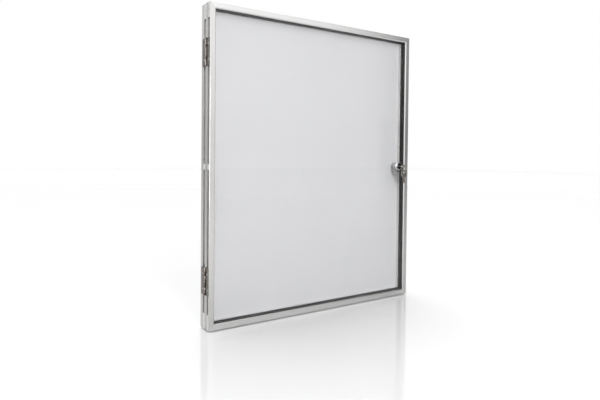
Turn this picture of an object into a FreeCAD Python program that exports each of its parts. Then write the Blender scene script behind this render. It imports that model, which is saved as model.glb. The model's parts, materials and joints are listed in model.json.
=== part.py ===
import FreeCAD, Part

import math
import os
import re

import Sketcher
from FreeCAD import Placement, Rotation, Vector

# Lockable notice board for a wall: a rear frame round a white magnetic panel, and a framed
# clear door on two side hinges with a cylinder lock. Millimetres.
# X is to the right, Y points back to the wall and Z is up. The origin is the centre of the
# back plane. Sections are given as (u, v): u inward from the board's outer side, v back from
# the door's front face, so the wall is at v = DEPTH.

SIZES = [
    ("width", 630.0, "outside width of both frames"),
    ("height", 750.0, "outside height of both frames"),
    ("frame_deep", 32.5, "depth of the rear extrusion"),
    ("wall", 1.6, "wall of the extrusions"),
    ("slot_deep", 5.0, "from the outer side to the bottom of the outer slot"),
    ("fit", 0.1, "clearance of what slides in a slot"),
    ("mitre_spare", 2.0, "how far a mitre cut runs past the section"),
    ("door_deep", 14.5, "depth of the door's extrusion"),
    ("door_face", 14.5, "width of the door's extrusion"),
    ("door_front", 1.4, "front wall of the door's extrusion"),
    ("door_bevel", 2.0, "bevel round the inner edge of the door"),
    ("door_round", 1.0, "rounded outer front edge of the door"),
    ("door_lip", 2.1, "thickness of the lip behind the bevel"),
    ("door_lip_gap", 0.4, "back of that lip to the pane"),
    ("door_slot_near", 2.2, "front edge of the door's outer slot"),
    ("door_slot_wide", 8.6, "opening of the door's outer slot"),
    ("bead_hook", 1.6, "hook that holds the glazing bead"),
    ("door_gap", 1.0, "gap between the door and the rear frame"),
    ("frame_face", 17.4, "width of the rear extrusion"),
    ("seal_step_wide", 3.2, "rebate for the seal, across"),
    ("seal_step_deep", 2.5, "rebate for the seal, back"),
    ("frame_slot_near", 7.5, "from the frame's front to its outer slot"),
    ("frame_slot_wide", 10.5, "opening of the frame's outer slot"),
    ("slot_undercut", 1.4, "undercut behind the frame slot's lips"),
    ("display_deep", 11.5, "from the frame's front to the panel's face"),
    ("panel_thick", 10.0, "thickness of the back panel"),
    ("panel_play", 0.2, "clearance of the panel in its groove"),
    ("panel_edge_gap", 0.5, "gap round the panel's edge"),
    ("groove_deep", 3.1, "depth of the panel's groove"),
    ("rear_step_in", 1.0, "how far the rear of the outer side is set in"),
    ("rear_step_deep", 7.3, "depth of that set-in part"),
    ("tray_sheet", 0.8, "sheet of the panel's steel tray"),
    ("rear_sheet", 0.5, "sheet on the panel's back"),
    ("pane_front", 3.6, "from the door's face to the pane"),
    ("pane_thick", 3.0, "thickness of the clear pane"),
    ("pane_edge_gap", 2.0, "room for the pane to grow with heat"),
    ("gasket_in", 2.6, "from the slot's web to the front gasket"),
    ("gasket_gap", 0.2, "front gasket to the door's lip"),
    ("bead_show", 0.8, "how far the glazing bead shows beside the door's lip"),
    ("bead_foot", 1.5, "foot of the bead behind its hook"),
    ("bead_edge", 1.0, "chamfer of the bead's front edge"),
    ("bead_play", 0.3, "clearance of the bead's foot"),
    ("seal_foot_wide", 2.2, "foot of the seal in the bead's groove"),
    ("seal_foot_deep", 1.9, "depth of that foot"),
    ("seal_foot_set", 1.1, "from the bead's edge at the extrusion's hook to the seal's foot"),
    ("seal_skirt", 0.7, "thickness of the seal's skirt"),
    ("seal_nose_wide", 2.4, "width of the seal's bulb nose"),
    ("seal_gap_wide", 0.7, "gap between the seal's nose and the rebate, across"),
    ("seal_gap_deep", 0.6, "gap between the seal's nose and the rebate, back"),
    ("seal_round", 0.9, "rounding of the seal's nose"),
    ("corner_leg", 35.0, "leg of a corner connector"),
    ("corner_flush", 0.3, "how far a connector's nose lies below the side"),
    ("corner_lead", 1.5, "chamfer at the ends of a connector's legs"),
    ("grub_radius", 2.0, "radius of a grub screw"),
    ("grub_from_end", 17.0, "grub screw to the corner"),
    ("grub_sunk", 0.9, "how deep a grub screw sits below the side"),
    ("grub_socket", 1.15, "radius of a grub screw's hexagon socket, across its corners"),
    ("thread_gap", 0.05, "clearance drawn round a screw's thread"),
    ("clip_high", 13.0, "height of the plastic clips"),
    ("clip_rise", 1.0, "clips and lock above the middle"),
    ("hinge_inset", 112.0, "hinge centre to the top or the bottom"),
    ("hinge_high", 64.0, "height of a hinge"),
    ("hinge_behind", 3.8, "from the frame's front back to the hinge pin"),
    ("hinge_clear", 0.3, "barrel to the outer side"),
    ("barrel_radius", 2.5, "radius of the hinge barrel"),
    ("pin_radius", 1.15, "radius of the hinge pin"),
    ("pin_fit", 0.05, "clearance of the hinge pin"),
    ("pin_head", 1.9, "radius of the pin's head"),
    ("pin_head_high", 0.8, "height of the pin's head"),
    ("leaf_thick", 1.3, "thickness of a hinge leaf"),
    ("leaf_relief", 0.4, "from the barrel to where a leaf touches the side"),
    ("knuckle_high", 26.5, "height of the middle knuckle"),
    ("knuckle_gap", 0.4, "gap between knuckles"),
    ("leaf_round", 2.0, "rounded corners of a leaf"),
    ("frame_leaf_edge", 8.5, "rear edge of the frame's leaf to the wall"),
    ("door_leaf_edge", 2.0, "front edge of the door's leaf to the door's face"),
    ("screw_pitch", 36.0, "spacing of a leaf's two screws"),
    ("screw_radius", 1.5, "radius of a leaf's screw, whose head is as deep as the leaf"),
    ("screw_socket", 0.9, "depth of the hexagon socket in its head"),
    ("nut_plate_thick", 2.6, "nut plate in the slot"),
    ("nut_plate_end", 12.0, "end of a nut plate to its next screw"),
    ("fixing_end", 60.0, "wall screw to the top or the bottom"),
    ("fixing_radius", 2.75, "radius of a wall screw's hole"),
    ("access_radius", 4.1, "radius of the hole that its head passes"),
    ("access_edge", 0.6, "that hole to the rebate"),
    ("lock_in", 35.0, "lock centre to the outer side"),
    ("flange_wide", 3.3, "width of the lock's flange round its head"),
    ("flange_out", 3.0, "front of the flange, from the pane"),
    ("flange_bevel", 1.2, "bevel of the flange"),
    ("head_radius", 9.2, "radius of the lock's head"),
    ("head_out", 4.2, "front of the head, from the pane"),
    ("head_edge", 0.5, "chamfer of the head's edge"),
    ("barrel_lock", 7.9, "radius of the lock's threaded barrel"),
    ("barrel_short", 0.4, "rear end of that barrel to the plug's shoulder"),
    ("pane_hole_play", 0.3, "clearance of the barrel in the pane"),
    ("lock_gasket", 0.6, "gasket under the flange"),
    ("lock_washer", 1.0, "washer behind the pane"),
    ("washer_wide", 3.1, "width of that washer"),
    ("nut_high", 4.0, "height of the lock's nut"),
    ("nut_wide", 4.8, "from the barrel to the nut's corners"),
    ("plug_radius", 6.0, "radius of the plug"),
    ("turn_gap", 0.05, "clearance of the plug in its bore"),
    ("plug_sunk", 0.4, "plug's face below the head"),
    ("tail_side", 6.4, "side of the plug's square tail"),
    ("tail_short", 0.2, "end of that tail to the cam's back"),
    ("tail_fit", 0.1, "clearance of the cam on the tail"),
    ("cam_thick", 2.0, "thickness of the cam"),
    ("cam_wide", 14.0, "width of the cam"),
    ("cam_round", 6.3, "rounded corners of the cam"),
    ("cam_reach", 24.0, "centre to the tip of the cam"),
    ("cam_play", 1.2, "clearance of the cam in the frame's slot"),
    ("cam_slot", 5.0, "width of that slot"),
    ("cam_slot_set", 0.1, "slot to the back of the rebate's wall"),
    ("cam_set", 0.5, "front edge of that slot to the cam"),
    ("cam_screw", 2.0, "radius of the cam's screw"),
    ("cam_screw_long", 6.0, "length of the cam's screw"),
    ("cam_head", 3.6, "radius of its head"),
    ("cam_head_high", 2.4, "height of its head"),
    ("cam_washer", 0.8, "washer behind the cam"),
    ("cam_washer_radius", 4.8, "radius of that washer"),
    ("key_thick", 2.3, "thickness of a key"),
    ("key_seat", 0.3, "key's shoulder to the lock's head"),
    ("bow_wide", 21.0, "width of a key's bow"),
    ("bow_long", 20.0, "length of a key's bow"),
    ("bow_round", 8.0, "rounding of the bow's end"),
    ("bow_taper", 5.0, "length of the taper to the neck"),
    ("neck_wide", 11.0, "width of a key's neck"),
    ("blade_wide", 7.5, "width of a key's blade"),
    ("plug_web", 4.2, "tip of the blade to the plug's shoulder"),
    ("blade_tip", 2.0, "taper of the blade's tip"),
    ("key_rim", 2.6, "rim between the bow's hole and its end"),
    ("eye_wide", 9.5, "width of the hole in the bow"),
    ("eye_high", 7.0, "height of the hole in the bow"),
    ("eye_round", 2.4, "rounded corners of that hole"),
    ("keyway_play", 0.15, "clearance of the blade in the keyway"),
    ("bit_pitch", 2.8, "spacing of the key's cuts"),
    ("bit_half", 1.3, "half the width of a key's cut"),
    ("key_groove_wide", 1.6, "width of the groove along each face of the blade"),
    ("key_groove_deep", 0.5, "depth of that groove"),
    ("key_groove_set", 1.2, "middle of the blade to the middle of the groove"),
    ("ring_inner", 7.6, "inner radius of the split ring"),
    ("ring_wall", 1.5, "radial thickness of the split ring"),
    ("ring_wide", 2.0, "thickness of the ring's two turns together"),
    ("ring_edge", 0.35, "chamfer of the ring's inner edges"),
    ("ring_groove", 0.35, "groove between the ring's two turns"),
    ("ring_slit", 0.7, "gap at the end of each turn"),
    ("ring_play", 0.3, "play between the ring and a key"),
]

# Depths of the key's cuts, from its shoulder to its tip
BITTING = (0.7, 1.4, 0.9, 1.6)
SIDES = {"top": 0, "right": 90, "bottom": 180, "left": 270}
CORNERS = {"top_right": 0, "bottom_right": 90, "bottom_left": 180, "top_left": 270}
ACROSS = Vector(0, 1, 0)
LENGTHWISE = Vector(1, 0, 0)

# How near the middle of an edge lies to its tied point, and the least volume that a cut takes
NEAR = 0.01
LEAST_CUT = 0.01

# Places that several pieces share, each worked out from the sizes above
FRAME_FRONT = "(door_deep + door_gap)"
DEPTH = f"({FRAME_FRONT} + frame_deep)"
DOOR_SLOT_FAR = "(door_slot_near + door_slot_wide)"
DOOR_SLOT_MIDDLE = "(door_slot_near + door_slot_wide / 2)"
DOOR_CAVITY_FAR = "(door_deep - wall)"
FRAME_SLOT_NEAR = f"({FRAME_FRONT} + frame_slot_near)"
FRAME_SLOT_FAR = f"({FRAME_SLOT_NEAR} + frame_slot_wide)"
FRAME_SLOT_MIDDLE = f"({FRAME_SLOT_NEAR} + frame_slot_wide / 2)"
FRAME_CAVITY_NEAR = f"({FRAME_SLOT_NEAR} - slot_undercut)"
FRAME_CAVITY_FAR = f"({FRAME_SLOT_FAR} + slot_undercut)"
WEB = "(slot_deep + wall)"
REBATE = "(frame_face - seal_step_wide)"
REBATE_BACK = f"({FRAME_FRONT} + seal_step_deep)"
PANEL_FRONT = f"({FRAME_FRONT} + display_deep)"
GROOVE_FAR = f"({PANEL_FRONT} + panel_thick + panel_play)"
GROOVE_FLOOR = "(frame_face - groove_deep)"
REAR_STEP = f"({DEPTH} - rear_step_deep)"
FIXING_IN = f"({REBATE} - access_edge - access_radius)"
PANEL_EDGE = f"({GROOVE_FLOOR} + panel_edge_gap)"
PANE_EDGE = f"({WEB} + pane_edge_gap)"
PANE_BACK = "(pane_front + pane_thick)"
LIP_BACK = "(pane_front - door_lip_gap)"
BEAD_FACE = "(door_face + bead_show)"
SEAL_FOOT = f"({WEB} + bead_hook + bead_play + seal_foot_set)"
SEAL_REACH = f"({REBATE} + seal_gap_wide + seal_nose_wide)"
SEAL_TIP = f"({REBATE_BACK} - seal_gap_deep)"
HINGE_BACK = f"({FRAME_FRONT} + hinge_behind)"
HINGE_OUT = "(barrel_radius + hinge_clear)"
LEAF_STEP = "(barrel_radius + leaf_relief)"
FRAME_LEAF = f"({DEPTH} - frame_leaf_edge - {HINGE_BACK})"
DOOR_LEAF = f"({HINGE_BACK} - door_leaf_edge)"
LOCK_X = "(width / 2 - lock_in)"
CAM_SLOT_NEAR = f"({REBATE_BACK} + wall + cam_slot_set)"
PLUG_BACK = f"({CAM_SLOT_NEAR} + cam_set - pane_front)"
TAIL_LONG = "(cam_thick - tail_short)"
FLANGE = "(head_radius + flange_wide)"
PANE_HOLE = "(barrel_lock + pane_hole_play)"
BLADE_LONG = f"({PLUG_BACK} - plug_web + head_out + key_seat)"
KEY_SHOULDER = f"(pane_front - {DEPTH} - head_out - key_seat)"
KEY_EYE = "(bow_long - key_rim - eye_high / 2)"
RING_Y = f"({KEY_SHOULDER} - bow_long + key_rim / 2)"
RING_Z = "(clip_rise + key_thick / 2 + ring_play - ring_inner)"

doc = FreeCAD.newDocument("notice_board")
sheet = doc.addObject("Spreadsheet::Sheet", "Sizes")
for row, (name, size, note) in enumerate(SIZES, start=1):
    sheet.set(f"A{row}", note)
    sheet.set(f"B{row}", str(size))
    sheet.setAlias(f"B{row}", name)
doc.recompute()
NAMES = {name for name, size, note in SIZES}
pieces = []
cuts = []


def cells(text):
    """The expression with every size's name written as its cell of the sheet."""
    return re.sub(r"[a-z_]+", lambda word: f"Sizes.{word[0]}" if word[0] in NAMES else word[0], text)


def value(text):
    """The number that an expression gives now."""
    return float(sheet.evalExpression(cells(text)))


def tie(thing, **expressions):
    """Binds properties of an object to expressions on the sheet."""
    for name, text in expressions.items():
        thing.setExpression(name, cells(text))


def place(thing, x="0", y="0", z="0", axis=ACROSS, turn=0):
    """Puts an object at a place tied to the sheet, turned about an axis in degrees."""
    thing.Placement = Placement(Vector(value(x), value(y), value(z)), Rotation(axis, turn))
    for letter, text in zip("xyz", (x, y, z)):
        thing.setExpression(f"Placement.Base.{letter}", cells(text))
    return thing


def piece(thing):
    """Marks an object as one of the board's own pieces, written to a file of its own."""
    pieces.append(thing)
    return thing


def new_body(label):
    """A PartDesign body, named after its piece."""
    return piece(doc.addObject("PartDesign::Body", label))


def attach(thing, body, plane, x="0", y="0", lift="0"):
    """Puts a sketch or a cut on one of the body's origin planes, lifted along the plane's normal."""
    face = next(part for part in body.Origin.OriginFeatures if part.Role == plane)
    thing.AttachmentSupport = (face, [""])
    thing.MapMode = "FlatFace"
    thing.AttachmentOffset = Placement(Vector(value(x), value(y), value(lift)), Rotation())
    for letter, text in zip("xyz", (x, y, lift)):
        thing.setExpression(f"AttachmentOffset.Base.{letter}", cells(text))
    return thing


def sketch_on(body, plane, lift="0"):
    """A sketch on one of the body's own origin planes, lifted along the plane's normal."""
    return attach(body.newObject("Sketcher::SketchObject", "Sketch"), body, plane, lift=lift)


def outline(sketch, corners):
    """A closed outline of straight lines, with both coordinates of every corner tied to the sheet."""
    first = sketch.GeometryCount
    count = len(corners)
    points = [Vector(value(x), value(y), 0) for x, y in corners]
    sketch.addGeometry([Part.LineSegment(points[i], points[(i + 1) % count]) for i in range(count)])
    joints = [(first + i, 2, first + (i + 1) % count, 1) for i in range(count)]
    sketch.addConstraint([Sketcher.Constraint("Coincident", *joint) for joint in joints])
    for i, (x, y) in enumerate(corners):
        for kind, text in (("DistanceX", x), ("DistanceY", y)):
            number = sketch.addConstraint(Sketcher.Constraint(kind, -1, 1, first + i, 1, value(text)))
            sketch.setExpression(f"Constraints[{number}]", cells(text))


def rectangle(sketch, left, right, low, high):
    """A rectangle between four tied coordinates."""
    outline(sketch, [(left, low), (right, low), (right, high), (left, high)])


def circle(sketch, x, y, radius):
    """A circle with a tied centre and radius."""
    shape = Part.Circle(Vector(value(x), value(y), 0), Vector(0, 0, 1), value(radius))
    curve = sketch.addGeometry(shape)
    for kind, text in (("DistanceX", x), ("DistanceY", y)):
        number = sketch.addConstraint(Sketcher.Constraint(kind, -1, 1, curve, 3, value(text)))
        sketch.setExpression(f"Constraints[{number}]", cells(text))
    number = sketch.addConstraint(Sketcher.Constraint("Radius", curve, value(radius)))
    sketch.setExpression(f"Constraints[{number}]", cells(radius))


def pad(body, sketch, length, both_ways=False):
    """Raises a sketch along its normal, or half each way."""
    feature = body.newObject("PartDesign::Pad", "Pad")
    feature.Profile = sketch
    feature.SideType = "Symmetric" if both_ways else "One side"
    tie(feature, Length=length)
    return feature


def pocket(body, sketch, deep=None, along_normal=False):
    """Cuts a sketch into the body: right through, or to a depth against or along its normal."""
    feature = body.newObject("PartDesign::Pocket", "Pocket")
    feature.Profile = sketch
    if deep is None:
        feature.Type = "ThroughAll"
        feature.SideType = "Symmetric"
    else:
        feature.Reversed = along_normal
        tie(feature, Length=deep)
    cuts.append(feature)
    return feature


def countersink(body, plane, x, y, lift, wide, narrow, deep):
    """Cuts a cone into the body, from its wide end along the normal of an origin plane."""
    cone = body.newObject("PartDesign::SubtractiveCone", "Countersink")
    tie(cone, Radius1=wide, Radius2=narrow, Height=deep)
    cuts.append(attach(cone, body, plane, x, y, lift))
    return cone


def revolve(body, sketch, axis="V_Axis"):
    """Turns a sketch once round one of its own axes."""
    feature = body.newObject("PartDesign::Revolution", "Revolution")
    feature.Profile = sketch
    feature.ReferenceAxis = (sketch, [axis])
    feature.Angle = 360
    return feature


def dress(body, kind, size, middles):
    """Rounds or chamfers the straight or full round edges with their middles at the tied points."""
    doc.recompute()
    base = body.Tip
    wanted = [Vector(*(value(text) for text in middle)) for middle in middles]
    edges = []
    for number, edge in enumerate(base.Shape.Edges, start=1):
        if any((edge.CenterOfMass - point).Length < NEAR for point in wanted):
            edges.append(f"Edge{number}")
    if len(edges) != len(wanted):
        raise ValueError(f"{body.Label}: {len(edges)} of {len(wanted)} edges found")
    feature = body.newObject(f"PartDesign::{kind}", kind)
    feature.Base = (base, edges)
    tie(feature, **{"Radius" if kind == "Fillet" else "Size": size})
    return feature


def box(label, low, high):
    """A Part box between two tied corners."""
    shape = doc.addObject("Part::Box", label)
    sizes = [f"({far}) - ({near})" for near, far in zip(low, high)]
    tie(shape, Length=sizes[0], Width=sizes[1], Height=sizes[2])
    return place(shape, *low)


def cylinder(label, radius, long, x="0", y="0", z="0", axis=ACROSS, turn=0):
    """A Part cylinder from a tied foot, along Z before it is turned."""
    shape = doc.addObject("Part::Cylinder", label)
    tie(shape, Radius=radius, Height=long)
    return place(shape, x, y, z, axis, turn)


def difference(label, base, tools):
    """One shape less several others."""
    tool = doc.addObject("Part::MultiFuse", f"{label}_tools") if len(tools) > 1 else tools[0]
    if len(tools) > 1:
        tool.Shapes = tools
    result = doc.addObject("Part::Cut", label)
    result.Base = base
    result.Tool = tool
    return result


def union(label, shapes):
    """Several shapes fused into one."""
    result = doc.addObject("Part::MultiFuse", label)
    result.Shapes = shapes
    return result


def group(label, shapes):
    """Separate solids that are kept together."""
    result = doc.addObject("Part::Compound", label)
    result.Links = shapes
    return result


def on_side(thing, side):
    """Stands a piece that is drawn along the top on one of the four sides."""
    x = {"right": "width / 2", "left": "-width / 2"}.get(side, "0")
    z = {"top": "height / 2", "bottom": "-height / 2"}.get(side, "0")
    return place(thing, x, "0", z, ACROSS, SIDES[side])


def turned_over(corner):
    """Whether the leg that is drawn along the stile lies along the rail in this corner."""
    return CORNERS[corner] % 180 == 90


def in_corner(thing, corner):
    """Stands a piece that is drawn in the top right corner in one of the four corners."""
    x = "width / 2" if corner.endswith("right") else "-width / 2"
    z = "height / 2" if corner.startswith("top") else "-height / 2"
    return place(thing, x, "0", z, ACROSS, CORNERS[corner])


# Extrusions, gaskets, beads and seals: each is one section, run along a side and mitred


def rail(label, side, section, hollow=None, rounded=None):
    """A strip of one section along a side of the board, mitred at both ends."""
    body = new_body(label)
    length = "width" if side in ("top", "bottom") else "height"
    profile = sketch_on(body, "YZ_Plane")
    for loop in (section, hollow):
        if loop:
            outline(profile, [(f"{v} - {DEPTH}", f"-({u})") for u, v in loop])
    pad(body, profile, length, both_ways=True)
    if rounded:
        size, corners = rounded
        dress(body, "Fillet", size, [("0", f"{v} - {DEPTH}", f"-({u})") for u, v in corners])
    mitres = sketch_on(body, "XZ_Plane")
    deep = "(frame_face + mitre_spare)"
    for sign in ("", "-"):
        tip = f"{sign}({length} / 2 + mitre_spare)"
        heel = f"{sign}({length} / 2 - {deep})"
        outline(mitres, [(tip, "mitre_spare"), (tip, f"-{deep}"), (heel, f"-{deep}")])
    pocket(body, mitres)
    return on_side(body, side)


DOOR_SECTION = [
    ("0", "0"),
    ("door_face - door_bevel", "0"),
    ("door_face", "door_bevel"),
    ("door_face", LIP_BACK),
    ("door_face - door_lip", LIP_BACK),
    ("door_face - door_lip", "door_front"),
    (WEB, "door_front"),
    (WEB, DOOR_CAVITY_FAR),
    (f"{WEB} + bead_hook", DOOR_CAVITY_FAR),
    (f"{WEB} + bead_hook", "door_deep"),
    ("0", "door_deep"),
    ("0", DOOR_SLOT_FAR),
    ("wall", DOOR_SLOT_FAR),
    ("wall", DOOR_CAVITY_FAR),
    ("slot_deep", DOOR_CAVITY_FAR),
    ("slot_deep", "door_front"),
    ("wall", "door_front"),
    ("wall", "door_slot_near"),
    ("0", "door_slot_near"),
]

FRAME_SECTION = [
    ("0", FRAME_FRONT),
    (REBATE, FRAME_FRONT),
    (REBATE, REBATE_BACK),
    ("frame_face", REBATE_BACK),
    ("frame_face", PANEL_FRONT),
    (GROOVE_FLOOR, PANEL_FRONT),
    (GROOVE_FLOOR, GROOVE_FAR),
    ("frame_face", GROOVE_FAR),
    ("frame_face", f"{GROOVE_FAR} + wall"),
    (GROOVE_FLOOR, f"{GROOVE_FAR} + wall"),
    (GROOVE_FLOOR, DEPTH),
    ("rear_step_in", DEPTH),
    ("rear_step_in", REAR_STEP),
    ("0", REAR_STEP),
    ("0", FRAME_SLOT_FAR),
    ("wall", FRAME_SLOT_FAR),
    ("wall", FRAME_CAVITY_FAR),
    ("slot_deep", FRAME_CAVITY_FAR),
    ("slot_deep", FRAME_CAVITY_NEAR),
    ("wall", FRAME_CAVITY_NEAR),
    ("wall", FRAME_SLOT_NEAR),
    ("0", FRAME_SLOT_NEAR),
]

FRAME_HOLLOW = [
    ("wall", f"{FRAME_FRONT} + wall"),
    (f"{REBATE} - wall", f"{FRAME_FRONT} + wall"),
    (f"{REBATE} - wall", f"{REBATE_BACK} + wall"),
    ("frame_face - wall", f"{REBATE_BACK} + wall"),
    ("frame_face - wall", f"{PANEL_FRONT} - wall"),
    (f"{GROOVE_FLOOR} - wall", f"{PANEL_FRONT} - wall"),
    (f"{GROOVE_FLOOR} - wall", f"{DEPTH} - wall"),
    ("rear_step_in + wall", f"{DEPTH} - wall"),
    ("rear_step_in + wall", f"{REAR_STEP} - wall"),
    ("wall", f"{REAR_STEP} - wall"),
    ("wall", f"{FRAME_CAVITY_FAR} + wall"),
    (WEB, f"{FRAME_CAVITY_FAR} + wall"),
    (WEB, f"{FRAME_CAVITY_NEAR} - wall"),
    ("wall", f"{FRAME_CAVITY_NEAR} - wall"),
]

GASKET_SECTION = [
    (f"{WEB} + gasket_in", "door_front"),
    ("door_face - door_lip - gasket_gap", "door_front"),
    ("door_face - door_lip - gasket_gap", "pane_front"),
    (f"{WEB} + gasket_in", "pane_front"),
]

# The bead presses on the pane's back, hooks behind the extrusion with its foot, and holds the
# seal's foot in a groove of its rear face.
BEAD_SECTION = [
    (f"{WEB} + bead_hook + bead_play", "door_deep"),
    (f"{WEB} + bead_hook + bead_play", f"{DOOR_CAVITY_FAR} - bead_play"),
    (f"{WEB} + bead_play", f"{DOOR_CAVITY_FAR} - bead_play"),
    (f"{WEB} + bead_play", f"{PANE_BACK} + bead_foot + pane_edge_gap"),
    (f"{PANE_EDGE} + bead_play", PANE_BACK),
    (f"{BEAD_FACE} - bead_edge", PANE_BACK),
    (BEAD_FACE, f"{PANE_BACK} + bead_edge"),
    (BEAD_FACE, "door_deep"),
    (f"{SEAL_FOOT} + seal_foot_wide + fit", "door_deep"),
    (f"{SEAL_FOOT} + seal_foot_wide + fit", "door_deep - seal_foot_deep - fit"),
    (f"{SEAL_FOOT} - fit", "door_deep - seal_foot_deep - fit"),
    (f"{SEAL_FOOT} - fit", "door_deep"),
]

SEAL_SECTION = [
    (SEAL_FOOT, "door_deep - seal_foot_deep"),
    (f"{SEAL_FOOT} + seal_foot_wide", "door_deep - seal_foot_deep"),
    (f"{SEAL_FOOT} + seal_foot_wide", "door_deep"),
    (SEAL_REACH, "door_deep"),
    (SEAL_REACH, SEAL_TIP),
    (f"{SEAL_REACH} - seal_nose_wide", SEAL_TIP),
    (f"{SEAL_REACH} - seal_nose_wide", "door_deep + seal_skirt"),
    (f"{SEAL_FOOT} - seal_skirt", "door_deep + seal_skirt"),
    (f"{SEAL_FOOT} - seal_skirt", "door_deep"),
    (SEAL_FOOT, "door_deep"),
]

for side in SIDES:
    kind = "stile" if side in ("left", "right") else "rail"
    rail(f"door_{side}_{kind}", side, DOOR_SECTION, rounded=("door_round", [("0", "0")]))
    rail(f"{side}_front_gasket", side, GASKET_SECTION)
    rail(f"{side}_glazing_bead", side, BEAD_SECTION)
    rail(f"{side}_door_seal", side, SEAL_SECTION, rounded=("seal_round", SEAL_SECTION[3:6]))


# Rear frame: stiles take the wall screws, and the right one the cam's slot


def wall_fixings(stile):
    """Holes for two wall screws, with wider ones in front of them for the heads."""
    rear = sketch_on(stile, "XZ_Plane")
    front = sketch_on(stile, "XZ_Plane", "frame_deep")
    for sign in ("", "-"):
        circle(rear, f"{sign}(height / 2 - fixing_end)", f"-{FIXING_IN}", "fixing_radius")
        circle(front, f"{sign}(height / 2 - fixing_end)", f"-{FIXING_IN}", "access_radius")
    pocket(stile, rear, "wall + fit", along_normal=True)
    pocket(stile, front, "wall + fit")


def cam_slot(stile):
    """Slot in the inner wall that the cam turns into, right behind the seal's rebate."""
    sketch = sketch_on(stile, "XY_Plane", "-frame_face")
    sweep = "sqrt(pow(cam_reach; 2) - pow(lock_in - frame_face; 2))"
    near = f"{CAM_SLOT_NEAR} - {DEPTH}"
    rectangle(
        sketch,
        "-(clip_rise + cam_wide / 2 + cam_play)",
        f"-(clip_rise - {sweep} - cam_play)",
        near,
        f"{near} + cam_slot",
    )
    pocket(stile, sketch, "wall + fit", along_normal=True)


for side in SIDES:
    kind = "stile" if side in ("left", "right") else "rail"
    extrusion = rail(f"frame_{side}_{kind}", side, FRAME_SECTION, FRAME_HOLLOW)
    if kind == "stile":
        wall_fixings(extrusion)
    if side == "right":
        cam_slot(extrusion)


# Corner connectors: an L in the slots' cavity with a narrower nose that fills their openings


def corner_connector(label, corner, slot, cavity):
    """One connector; slot and cavity are its opening and its inside, front to back."""
    body = new_body(label)
    end = "corner_leg"
    foot = ("wall + fit", "slot_deep - fit")
    lead = [(f"{foot[1]} - corner_lead", end), (foot[1], f"{end} - corner_lead")]
    nose = ("corner_flush", "wall + fit")
    for (outer, inner), tip, (near, far) in ((foot, lead, cavity), (nose, [(nose[1], end)], slot)):
        leg = [(outer, end)] + tip
        corners = [(outer, outer)] + leg + [(inner, inner)] + [(y, x) for x, y in reversed(leg)]
        sketch = sketch_on(body, "XZ_Plane", f"{DEPTH} - {far} + fit")
        outline(sketch, [(f"-({x})", f"-({y})") for x, y in corners])
        pad(body, sketch, f"{far} - {near} - 2 * fit")
    spot = (f"({slot[0]} + {slot[1]}) / 2 - {DEPTH}", "-grub_from_end")
    hole = sketch_on(body, "XY_Plane" if turned_over(corner) else "YZ_Plane")
    circle(hole, *(reversed(spot) if turned_over(corner) else spot), "grub_radius + thread_gap")
    pocket(body, hole, "slot_deep")
    return in_corner(body, corner)


def grub_screws(label, middle):
    """The grub screw of each connector, in the leg along the stile, with its hexagon socket."""
    long = "slot_deep - grub_sunk"
    screws = []
    for over, turn, x, z in ((True, 180, "-grub_from_end", "-grub_sunk"),
                             (False, 270, "-grub_sunk", "-grub_from_end")):
        name = f"{label}_turned_over" if over else f"{label}_as_drawn"
        shank = cylinder(f"{name}_shank", "grub_radius", long, x, middle, z, ACROSS, turn)
        socket = doc.addObject("Part::Prism", f"{name}_socket")
        tie(socket, Circumradius="grub_socket", Height=f"({long}) / 2")
        place(socket, x, middle, z, ACROSS, turn)
        screw = difference(name, shank, [socket])
        corners = [corner for corner in CORNERS if turned_over(corner) == over]
        screws += [in_corner(group(f"{label}_{corner}", [screw]), corner) for corner in corners]
    return piece(group(label, screws))


DOOR_SLOT = ("door_slot_near", DOOR_SLOT_FAR)
DOOR_CAVITY = ("door_front", DOOR_CAVITY_FAR)
FRAME_SLOT = (FRAME_SLOT_NEAR, FRAME_SLOT_FAR)
FRAME_CAVITY = (FRAME_CAVITY_NEAR, FRAME_CAVITY_FAR)
for corner in CORNERS:
    corner_connector(f"door_{corner}_connector", corner, DOOR_SLOT, DOOR_CAVITY)
    corner_connector(f"frame_{corner}_connector", corner, FRAME_SLOT, FRAME_CAVITY)
grub_screws("door_grub_screws", f"{DOOR_SLOT_MIDDLE} - {DEPTH}")
grub_screws("frame_grub_screws", f"{FRAME_SLOT_MIDDLE} - {DEPTH}")


# Plastic clips in the left slots at the lock's height


def slot_clip(label, slot, cavity):
    """A block that fills a slot: a wide foot in the cavity and a nose in the opening."""
    blocks = []
    for part, outer, inner, (near, far) in (("foot", "wall + fit", "slot_deep - fit", cavity),
                                            ("nose", "corner_flush", "wall + fit", slot)):
        low = [f"-width / 2 + {outer}", f"{near} + fit - {DEPTH}", "clip_rise - clip_high / 2"]
        high = [f"-width / 2 + {inner}", f"{far} - fit - {DEPTH}", "clip_rise + clip_high / 2"]
        blocks.append(box(f"{label}_{part}", low, high))
    return piece(union(label, blocks))


slot_clip("door_slot_clip", DOOR_SLOT, DOOR_CAVITY)
slot_clip("frame_slot_clip", FRAME_SLOT, FRAME_CAVITY)


# Back panel: a folded steel tray, its core board and a rear sheet inside the folded edges


def panel_block(label, edge, front, back):
    """A block of the panel, its edges set in from the board's sides."""
    low = [f"-width / 2 + ({edge})", f"{front} - {DEPTH}", f"-height / 2 + ({edge})"]
    high = [f"width / 2 - ({edge})", f"{back} - {DEPTH}", f"height / 2 - ({edge})"]
    return box(label, low, high)


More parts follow.
